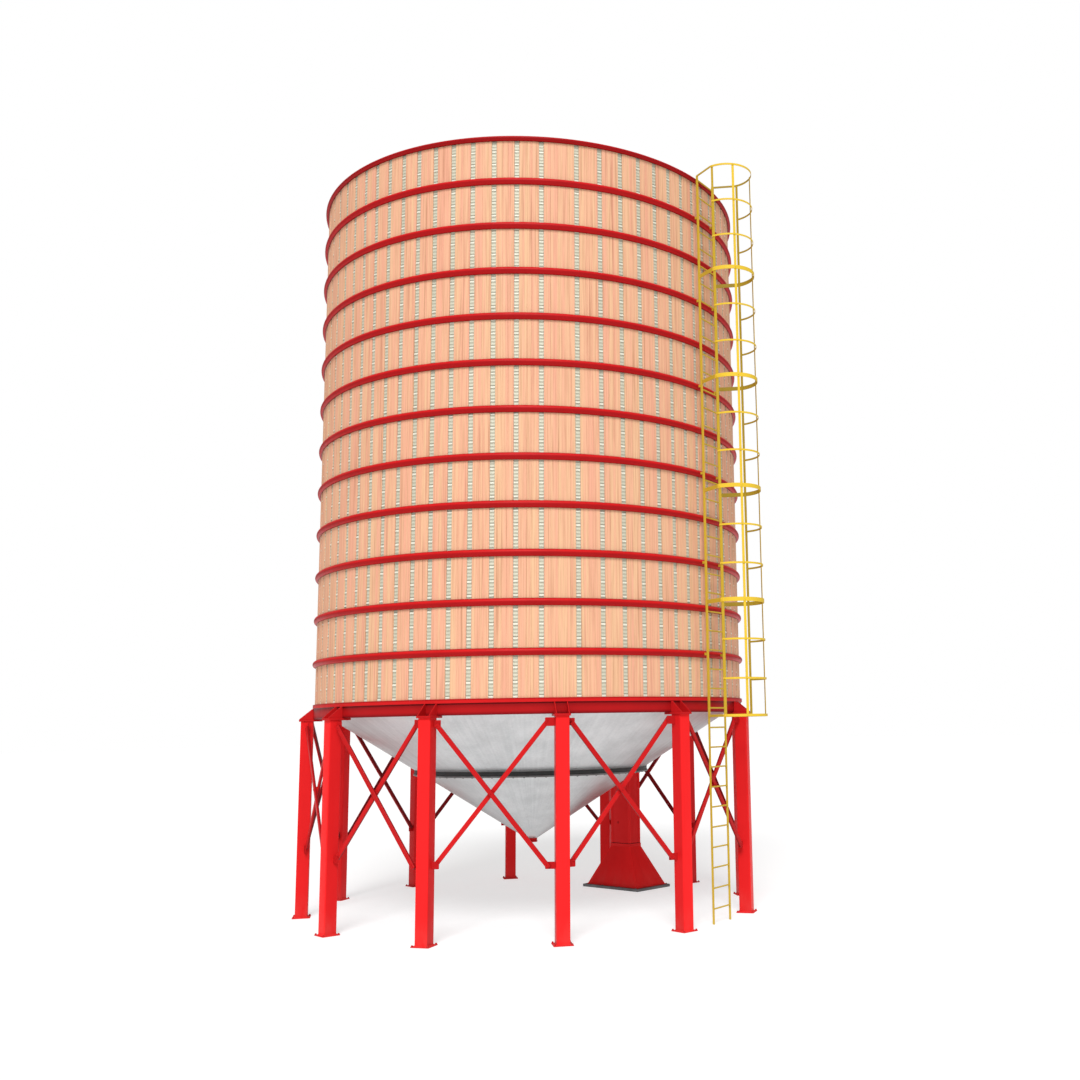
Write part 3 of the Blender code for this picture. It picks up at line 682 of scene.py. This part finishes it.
# hopper: two cones of sheet, the bolted collar between them and the outlet
hopper = {
    "topOut": 3.5837, "joint": 1.920, "lowOut": 0.0975, "sheet": 0.012 / cos(coneAngle),
    "collarOut": 1.985, "collarTop": 2.297, "collarFoot": 2.199, "sealTop": 2.289, "sealFoot": 2.226,
    "sealOut": 1.972, "collarBolts": 72, "outletOut": 0.0972, "outletBore": 0.075, "outletFoot": 1.045,
    "outletStep": 1.066, "neck": 0.006, "underAt": 0.045, "overAt": 0.020, "underBolt": (0.014, 0.012),
    "overBolt": (0.012, 0.008), "upperIn": 0.006,
}


def coneHeight(radius):
    return silo["coneTip"] + silo["coneSlope"] * radius


def coneRadius(height):
    return (height - silo["coneTip"]) / silo["coneSlope"]


def makeHopper():
    sheet, joint = hopper["sheet"], hopper["joint"]
    for name, node, outer, inner in (("upperCone", "hopper_upper", hopper["topOut"], joint + gap),
                                     ("lowerCone", "hopper_lower", joint, hopper["lowOut"])):
        slope = [(r, coneHeight(r)) for r in np.linspace(outer, inner, 7)]
        back = [(r, coneHeight(r) + sheet) for r in np.linspace(inner, outer, 7)]
        makePiece(name, [turned(slope + back)], hopperSteel, [node])

    def collarRing(low, high, out):
        outline = [(out, high), (out, low), (coneRadius(low) + gap, low), (coneRadius(high) + gap, high)]
        return turned(softened(outline, 0.002))

    seal = collarRing(hopper["sealFoot"], hopper["sealTop"], hopper["sealOut"])
    makePiece("collarSealRing", [seal], collarSeal, ["hopper_collar"])
    bolts = np.arange(hopper["collarBolts"]) * 360 / hopper["collarBolts"]
    out = hopper["collarOut"]
    under = around(bolts, out - hopper["underAt"], 0, hopper["collarFoot"] + sunk) @ downward
    over = around(bolts, out - hopper["overAt"], 0, hopper["collarTop"] - sunk)
    flanges = [collarRing(hopper["collarFoot"], hopper["sealFoot"] - gap, out),
               collarRing(hopper["sealTop"] + gap, hopper["collarTop"], out - hopper["upperIn"]),
               fitted(boltHead(*hopper["underBolt"]), under), fitted(boltHead(*hopper["overBolt"]), over)]
    makePiece("collarFlanges", flanges, flangeSteel)
    top, out, bore = coneHeight(hopper["lowOut"]) + sheet, hopper["outletOut"], hopper["outletBore"]
    step, foot, neck = hopper["outletStep"], hopper["outletFoot"], out - hopper["neck"]
    outline = [(neck, top), (neck, step), (out, step), (out, foot), (bore, foot), (bore, top)]
    stub = turned(softened(outline, 0.002), steps=48)
    makePiece("outletStub", [stub], redPaint, ["outlet_flange"])


makeHopper()

# duct behind the hopper, its flared hood and the plate under it
duct = {
    "angle": 86.5, "ring": 2.623, "turn": -8.9, "wide": 0.460, "deep": 0.290, "wall": 0.010,
    "hoodWide": 1.260, "hoodDeep": 0.770, "hoodFoot": 0.0483, "hoodTop": 0.755, "hoodThick": 0.012,
    "seam": 0.012, "seamIn": 0.008, "angleIron": 0.046, "angleThick": 0.005, "fold": 0.030,
    "slabWide": 1.390, "slabDeep": 0.900, "slab": 0.048, "slabBolts": (-0.62, -0.21, 0.21, 0.62),
    "slabBolt": (0.013, 0.014), "slabBoltIn": 0.028, "sleeve": (0.738, 0.792), "sleeveProud": 0.012,
    "sleeveIn": 0.002, "line": 0.008, "lineProud": 0.003, "plug": (0.022, 0.010), "plugAt": (-0.055, 1.17),
    # painted shade: the duct, its sleeve, angle irons and plug are dimmer than the legs, and its seams near
    # black-red
    "tone": 0.72, "seamShadeTone": 0.0, "plugTone": 0.40, "ironTone": 0.80, "sleeveTone": 0.76,
    # painted light and shade on the hood's sides, and painted highlights along its corners
    "hoodSideLightTones": (0.88, 1.05, 0.88, 1.05), "foldHighlightTones": (1.20, 0.98, 0.92, 1.0, 1.08),
    "foldAt": (0.0, 0.045, 0.30, 0.70, 0.955), "foldOut": (0.0, 0.20, 1.0, 1.0, 0.20),
    "rim": 0.030, "rimWide": 1.31, "rimDeep": 0.76, "rimOut": 0.010, "rimThick": 0.008,
}
ductPlace = np.array(Matrix.Translation((axisX + duct["ring"] * cos(radians(duct["angle"])),
                                         duct["ring"] * sin(radians(duct["angle"])), 0))
                     @ Matrix.Rotation(radians(duct["turn"]), 4, "Z"))


def upToCone(loop, low):
    # an upright outline whose upper row ends just under the cone: height = tip + slope times radius
    grid = placed(pushed(loop, low, low + 1), ductPlace)[0]
    radius = np.hypot(grid[1, :, 0] - axisX, grid[1, :, 1])
    grid[1, :, 2] = coneHeight(radius) - sunk
    return grid


def ductLoop(grow, cut=0.004):
    # the duct's plan, larger by grow on every side
    return softened(centred(duct["wide"] + 2 * grow, duct["deep"] + 2 * grow), cut)


def makeDuct():
    halfWide, halfDeep = duct["wide"] / 2, duct["deep"] / 2
    low = duct["hoodTop"] + duct["seam"]
    outer, inner = upToCone(ductLoop(0, 0.006), low), upToCone(ductLoop(-duct["wall"]), low)
    parts = [skin(np.stack([outer[0], outer[1], inner[1], inner[0]]), closeRows=True, tone=duct["tone"])]
    thick, wide = duct["angleThick"], duct["angleIron"]
    iron = np.array([(0, 0), (wide, 0), (wide, thick), (thick, thick), (thick, wide), (0, wide)])
    for side in np.array([(-1, -1), (-1, 1), (1, -1), (1, 1)]):
        loop = softened(side * (halfWide + thick, halfDeep + thick) - side * iron, 0.0015, 1)
        parts.append(skin(upToCone(loop, duct["sleeve"][1] + duct["line"]), tone=duct["ironTone"]))

    def band(foot, top, proud, tone):
        # a square ring round the duct, its rows up the outside and down the inside
        outside, inside = (pushed(ductLoop(grow), foot, top) for grow in (proud, -duct["sleeveIn"]))
        return fitted(np.stack([*outside, *inside[::-1]]), ductPlace, tone, closeRows=True)

    foot, top = duct["sleeve"]
    parts.append(band(foot, top, duct["sleeveProud"], duct["sleeveTone"]))
    # painted shade: a near black-red line above the sleeve
    parts.append(band(top, top + duct["line"], duct["lineProud"], duct["seamShadeTone"]))
    plugX, plugZ = duct["plugAt"]
    spot = ductPlace @ shifted(plugX, -halfDeep + sunk, plugZ) @ sideways[1]
    parts.append(fitted(boltHead(*duct["plug"]), spot, duct["plugTone"]))
    makePiece("squareDuct", parts, redPaint, ["duct"])
    # painted shade: the recessed seam between hood and duct is near black-red
    seam = centred(duct["wide"] - 2 * duct["seamIn"], duct["deep"] - 2 * duct["seamIn"])
    seam = fitted(pushed(seam, duct["hoodTop"] + gap, low - gap), ductPlace, duct["seamShadeTone"])
    makePiece("ductSeam", [seam], redPaint)


def hoodRow(wide, deep, fold):
    # one row of the hood: each side's points lie at shares of its length and stand out by shares of fold
    shares, outs = np.array(duct["foldAt"])[:, None], np.array(duct["foldOut"])[:, None]
    corners = np.array(centred(wide, deep))
    rows = []
    for n, corner in enumerate(corners):
        run = corners[(n + 1) % 4] - corner
        out = np.array([run[1], -run[0]]) / np.linalg.norm(run)
        rows.append(corner + run * shares + out * fold * outs)
    return np.concatenate(rows)


def makeHood():
    foot, top = duct["hoodFoot"], duct["hoodTop"]
    rows = []
    for shrink, order in ((0.0, 1), (duct["hoodThick"], -1)):
        for t in np.linspace(0, 1, 7)[::order]:
            wide = duct["hoodWide"] + (duct["wide"] - duct["hoodWide"]) * t - 2 * shrink
            deep = duct["hoodDeep"] + (duct["deep"] - duct["hoodDeep"]) * t - 2 * shrink
            loop = hoodRow(wide, deep, duct["fold"] * sin(pi * t))
            rows.append(np.column_stack([loop, np.full(len(loop), foot + (top - foot) * t)]))
    # painted light and shade: two opposite sides are lighter than the others, with a painted highlight along
    # each corner
    tones = np.outer(duct["hoodSideLightTones"], duct["foldHighlightTones"]).ravel()
    parts = [fitted(np.stack(rows), ductPlace, tones, closeRows=True)]
    outX, outY = duct["hoodWide"] / 2 + duct["rimOut"], duct["hoodDeep"] / 2 + duct["rimOut"]
    long, short = (duct["rimWide"], duct["rim"]), (duct["rim"], duct["rimDeep"])
    for x, y, size in ((0, -outY, long), (0, outY, long), (-outX, 0, short), (outX, 0, short)):
        rim = pushed(softened(centred(*size, x, y), 0.003), foot, foot + duct["rimThick"], 0.002)
        parts.append(fitted(rim, ductPlace, duct["sleeveTone"]))
    makePiece("flaredHood", parts, redPaint, ["duct_hood"], sharp=3)
    slab = pushed(softened(centred(duct["slabWide"], duct["slabDeep"]), 0.012), 0, duct["slab"], 0.004)
    row = duct["slabDeep"] / 2 - duct["slabBoltIn"]
    x, y = np.array([(x, y) for y in (-row, row) for x in duct["slabBolts"]]).T
    heads = placed(boltHead(*duct["slabBolt"]), shifted(x, y, duct["slab"] - sunk))
    makePiece("ductPlate", [fitted(slab, ductPlace), fitted(heads, ductPlace)], plateSteel,
              ["duct_base_plate"])


makeDuct()
makeHood()
print("hopper and duct ready")

# ladder: flat rails, round rungs and brackets to the hoops
ladder = {
    "shift": -0.045, "railIn": 3.683, "railOut": 3.717, "railAt": 0.2535, "railThick": 0.012, "top": 11.962,
    "rung": 0.012, "rungs": 40, "firstRung": 0.221, "step": 0.2992, "bracket": 0.008, "bracketHigh": 0.040,
    "bracketReach": 0.012, "bracketBolt": (0.008, 0.006), "railTone": 0.56, "rungTone": 0.60,
}


def makeLadder():
    place = around(0, 0, ladder["shift"])
    thick, parts = ladder["railThick"] / 2, []
    for at in (-ladder["railAt"], ladder["railAt"]):
        loop = softened(rectangle(ladder["railIn"], ladder["railOut"], at - thick, at + thick), 0.003)
        parts.append(fitted(pushed(loop, 0, ladder["top"], 0.002), place, ladder["railTone"]))
    angle = np.linspace(0, 2 * pi, 12, endpoint=False)
    middle = (ladder["railIn"] + ladder["railOut"]) / 2
    ring = np.stack([middle + ladder["rung"] * np.cos(angle), ladder["rung"] * np.sin(angle)], 1)
    end = ladder["railAt"] - thick + sunk
    heights = ladder["firstRung"] + np.arange(ladder["rungs"]) * ladder["step"]
    parts.append(fitted(pushed(ring, -end, end, 0, (0, 2, 1)), around(0, 0, ladder["shift"], heights),
                        ladder["rungTone"]))
    face, reach = hoops["seat"] + hoops["proud"], ladder["bracketReach"]
    half, high = ladder["bracket"] / 2, ladder["bracketHigh"] / 2
    for height in hoopHeights[::2]:
        for side in (-1, 1):
            at = side * ladder["railAt"]
            # the arm starts in the hoop, whose face stands at root(face^2 - across^2) from the axis
            near = (face ** 2 - (at + ladder["shift"]) ** 2) ** 0.5 - half
            arm = softened(rectangle(near, ladder["railIn"] + reach, height - high, height + high), 0.004)
            inner = at - side * (thick + half)
            parts.append(fitted(pushed(arm, inner - half, inner + half, 0.001, (0, 2, 1)), place))
            along = ladder["shift"] + inner - side * (half - sunk / 2)
            spot = around(0, ladder["railIn"] + reach / 2, along, height) @ sideways[side]
            parts.append(fitted(boltHead(*ladder["bracketBolt"]), spot))
    makePiece("railLadder", parts, yellowPaint, ["ladder"])


makeLadder()

# cage: bent flat hoops on four uprights, the wide ones reach back to the rails
cage = {
    "centre": 4.098, "radius": 0.427, "joint": 47.2, "end": 95.0, "thick": 0.008, "upright": 0.040,
    "wide": 0.065, "top": 0.034, "foot": 0.040, "thin": 0.030, "thinAt": (0.344, 0.683),
    "wideHeights": (11.951, 10.193, 8.409, 6.629, 4.850, 3.090),
    "frontUprights": 44.2, "sideUprights": 92.06, "rivet": (0.010, 0.007), "flat": 0.032,
    # painted shade: inner faces, wings and side uprights are dimmed
    "outerTone": 0.90, "innerShadeTone": 0.37, "sideTone": 0.56, "wingShadeShare": 0.62,
}
cageLow = cage["wideHeights"][-1] - cage["foot"] / 2 + 0.002
cageHigh = cage["wideHeights"][0] + cage["top"] / 2 - 0.002


def cageLevels():
    # every band's height, how tall it is, and whether it reaches back to the rails
    wide = cage["wideHeights"]
    tall = [cage["top"]] + [cage["wide"]] * (len(wide) - 2) + [cage["foot"]]
    levels = [(z, high, True) for z, high in zip(wide, tall)]
    for above, below in zip(wide, wide[1:]):
        levels += [(above + (below - above) * share, cage["thin"], False) for share in cage["thinAt"]]
    return levels


def cagePlace(degrees, height=0.0, out=0.0):
    # a place turned round the cage's upright centre line, then shifted out
    turn = Matrix.Translation((cage["centre"], 0, height)) @ Matrix.Rotation(radians(degrees), 4, "Z")
    return np.array(turn @ Matrix.Translation((out, 0, 0)))


def cageArc(first, last, steps):
    # points of the cage's own circle: centre + radius (cos a, sin a)
    angle = np.radians(np.linspace(first, last, steps))
    return np.stack([cage["centre"] + cage["radius"] * np.cos(angle), cage["radius"] * np.sin(angle)], 1)


def twoTone(loop, middle, outer=1):
    # the side of an outline that looks out of the cage is bright, and the side that looks in is dimmed as
    # painted shade
    return np.where((np.asarray(loop)[:, 0] - middle) * outer > 0, cage["outerTone"], cage["innerShadeTone"])


def cageStrip(path, height, high, outer=1):
    loop = softened(centred(cage["thick"], high, 0, height), 0.002, 1)
    return carried(path, loop), twoTone(loop, 0, outer)


def cageUpright(degrees):
    # a flat bar upright on the inner side of the hoops
    middle = cage["radius"] - cage["thick"] - sunk / 2
    loop = softened(centred(cage["thick"], cage["upright"], middle), 0.002, 1)
    bar = placed(pushed(loop, cageLow, cageHigh, 0.001), cagePlace(degrees))[0]
    return bar, twoTone(loop, middle)


def cageRivets(degrees):
    out = cage["radius"] + cage["thick"] / 2 - sunk
    spots = [cagePlace(degrees, z, out) @ outward for z, high, wide in cageLevels()]
    return placed(boltHead(*cage["rivet"]), spots), cage["outerTone"]


def makeCage():
    place = around(0, 0, ladder["shift"])
    levels = cageLevels()
    parts = [cageStrip(cageArc(-cage["joint"], cage["joint"], 25), z, high) for z, high, wide in levels]
    parts += [cageUpright(side * cage["frontUprights"]) for side in (-1, 1)]
    parts += [cageRivets(side * cage["frontUprights"]) for side in (-1, 1)]
    skins = [fitted(grid, place, tone) for grid, tone in parts]
    makePiece("cageFrontBand", skins, yellowPaint, ["cage_front"])
    for side, name, node in ((-1, "cageNearBand", "cage_side_near"), (1, "cageFarBand", "cage_side_far")):
        arc = cageArc(side * (cage["joint"] + 0.05), side * cage["end"], 14)
        across = ladder["railAt"] + ladder["railThick"] / 2 + gap + cage["thick"] / 2
        rail = np.array([ladder["railOut"] - 0.002, side * across])
        wing = arc[-1] + (rail - arc[-1]) * np.array([0.06, 0.5, 0.985])[:, None]
        parts = []
        for z, high, wide in levels:
            path = np.concatenate([arc, wing]) if wide else arc
            grid, tone = cageStrip(path, z, high, side)
            # painted shade: the wings that reach back to the rails are dimmed
            share = np.where(np.arange(len(path)) < len(arc), 1.0, cage["wingShadeShare"])[:, None]
            parts.append((grid, tone * share))
        upright, faces = cageUpright(side * cage["sideUprights"])
        # painted shade: the side uprights' outward faces are dimmer than the front ones
        parts.append((upright, np.where(faces > 0.5, cage["sideTone"], faces)))
        parts.append(cageRivets(side * cage["sideUprights"]))
        flat = softened(centred(cage["flat"], cage["thick"], *rail), 0.002, 1)
        parts.append((pushed(flat, cageLow, cageHigh, 0.001), ladder["railTone"]))
        skins = [fitted(grid, place, tone) for grid, tone in parts]
        makePiece(name, skins, yellowPaint, [node])


makeCage()
print("ladder and cage ready")

# roof: tapered boards up a low cone, with a round cap
roof = {
    "out": 3.600, "short": 0.002, "in": 0.16, "foot": 11.9603, "thick": 0.032, "rise": 0.900, "boards": 72,
    "joint": 0.0015, "nick": 0.005, "bevel": 0.052, "lift": 0.003, "capOut": 0.34, "capHole": 0.004,
    "capProud": 0.012, "capSink": 0.004, "capDeep": 0.02, "seed": 5,
}


def makeRoof():
    # six points round each board at the cap and at the eave: angle = side * (half a step - joint / radius),
    # height = peak - slope * radius - drop; the eave is cut back towards its upper edge
    chance = np.random.default_rng(roof["seed"])
    step = 2 * pi / roof["boards"]
    middle = np.arange(roof["boards"]) * step
    drop = np.array([roof["thick"], roof["nick"], 0, 0, roof["nick"], roof["thick"]])
    eave = roof["out"] - roof["short"] - roof["bevel"] * (1 - drop / roof["thick"])
    radius = np.stack([np.full(6, roof["in"]), eave])
    side, nicked = np.array([-1, -1, -1, 1, 1, 1]), np.array([0, 0, 1, 1, 0, 0])
    angle = side * (step / 2 - (roof["joint"] + nicked * roof["nick"]) / radius)
    lift = chance.uniform(0, roof["lift"], roof["boards"])
    top = roof["foot"] + roof["thick"] + roof["rise"] * (1 - radius / roof["out"])
    turn = middle[:, None, None] + angle[None]
    grid = np.stack([axisX + radius * np.cos(turn), radius * np.sin(turn),
                     (top - drop)[None] + lift[:, None, None]], -1)
    hole, out, proud = roof["capHole"], roof["capOut"], roof["capProud"]
    peak = roof["foot"] + roof["thick"] + roof["rise"]
    edge = peak - out * (roof["rise"] / roof["out"])
    outline = [(hole, peak + proud), (out, edge + proud), (out, edge - roof["capSink"]),
               (hole, peak - roof["capDeep"])]
    parts = [skin(grid, tone=chance.uniform(0, 1, (roof["boards"], 1, 1))),
             turned(softened(outline, 0.003), steps=64)]
    makePiece("roofBoards", parts, roofTimber, ["roof"])


makeRoof()
print("roof ready")

# floor, light and camera
studio = {
    "sky": 0.34, "sun": 2.85, "sunTurn": 31.0, "sunHeight": 46.0, "sunSoft": 24.0,
    "floor": (0.50, 0.50, 0.50), "floorGlow": 0.58, "floorWide": 360.0, "floorTop": -0.001,
}


def makeFloor():
    finish = Finish("paleFloor")
    cloud = finish.noise((0.5, 0.5, 0.5), 4.0, 0.5)
    low, high = [tuple(c * k for c in studio["floor"]) for k in (0.985, 1.0)]
    finish.into(Base_Color=finish.blend(cloud, low, high), Roughness=0.9, Specular_IOR_Level=0.1,
                Emission_Color=(1, 1, 1, 1), Emission_Strength=studio["floorGlow"])
    corners = [(x, y, studio["floorTop"]) for x, y in centred(studio["floorWide"], studio["floorWide"])]
    mesh = bpy.data.meshes.new("studioFloor")
    mesh.from_pydata(corners, [], [(0, 1, 2, 3)])
    mesh.materials.append(finish.material)
    linked("studioFloor", mesh)


def makeLight():
    # the silo is lit by a dim sky and a soft sun, and the camera sees a white sky
    world = bpy.data.worlds.new("softRoom")
    world.use_nodes = True
    nodes, links = world.node_tree.nodes, world.node_tree.links
    lit, seen = nodes["Background"], nodes.new("ShaderNodeBackground")
    for node, strength in ((lit, studio["sky"]), (seen, 1.0)):
        node.inputs["Color"].default_value = (1, 1, 1, 1)
        node.inputs["Strength"].default_value = strength
    ray, mix = nodes.new("ShaderNodeLightPath"), nodes.new("ShaderNodeMixShader")
    for n, output in enumerate((ray.outputs["Is Camera Ray"], lit.outputs[0], seen.outputs[0])):
        links.new(output, mix.inputs[n])
    links.new(mix.outputs[0], nodes["World Output"].inputs["Surface"])
    bpy.context.scene.world = world
    light = bpy.data.lights.new("softKey", "SUN")
    light.energy = studio["sun"]
    light.angle = radians(studio["sunSoft"])
    turn = Matrix.Rotation(radians(studio["sunTurn"]), 4, "Z")
    tilt = Matrix.Rotation(radians(90 - studio["sunHeight"]), 4, "X")
    linked("softKey", light).matrix_world = turn @ tilt


def makeCamera():
    # the photograph's view: its place, its axes, its focal length and the shift of its frame
    view = {
        "place": (12.33636, -16.0126, 2.9781), "right": (0.848799, 0.528426, -0.017508),
        "up": (0.098345, -0.125259, 0.987238), "ahead": (-0.519489, 0.839688, 0.158288),
        "lens": 38.735, "shiftX": -0.117785, "shiftY": -0.002129,
    }
    data = bpy.data.cameras.new("photoView")
    data.sensor_width = 36.0
    data.lens = view["lens"]
    data.shift_x, data.shift_y = view["shiftX"], view["shiftY"]
    data.clip_end = 900.0
    rows = zip(view["right"], view["up"], [-v for v in view["ahead"]], view["place"])
    camera = linked("photoView", data)
    camera.matrix_world = Matrix((*rows, (0, 0, 0, 1)))
    bpy.context.scene.camera = camera
    bpy.context.scene.view_settings.view_transform = "Standard"


makeFloor()
makeLight()
makeCamera()

print("scene ready")
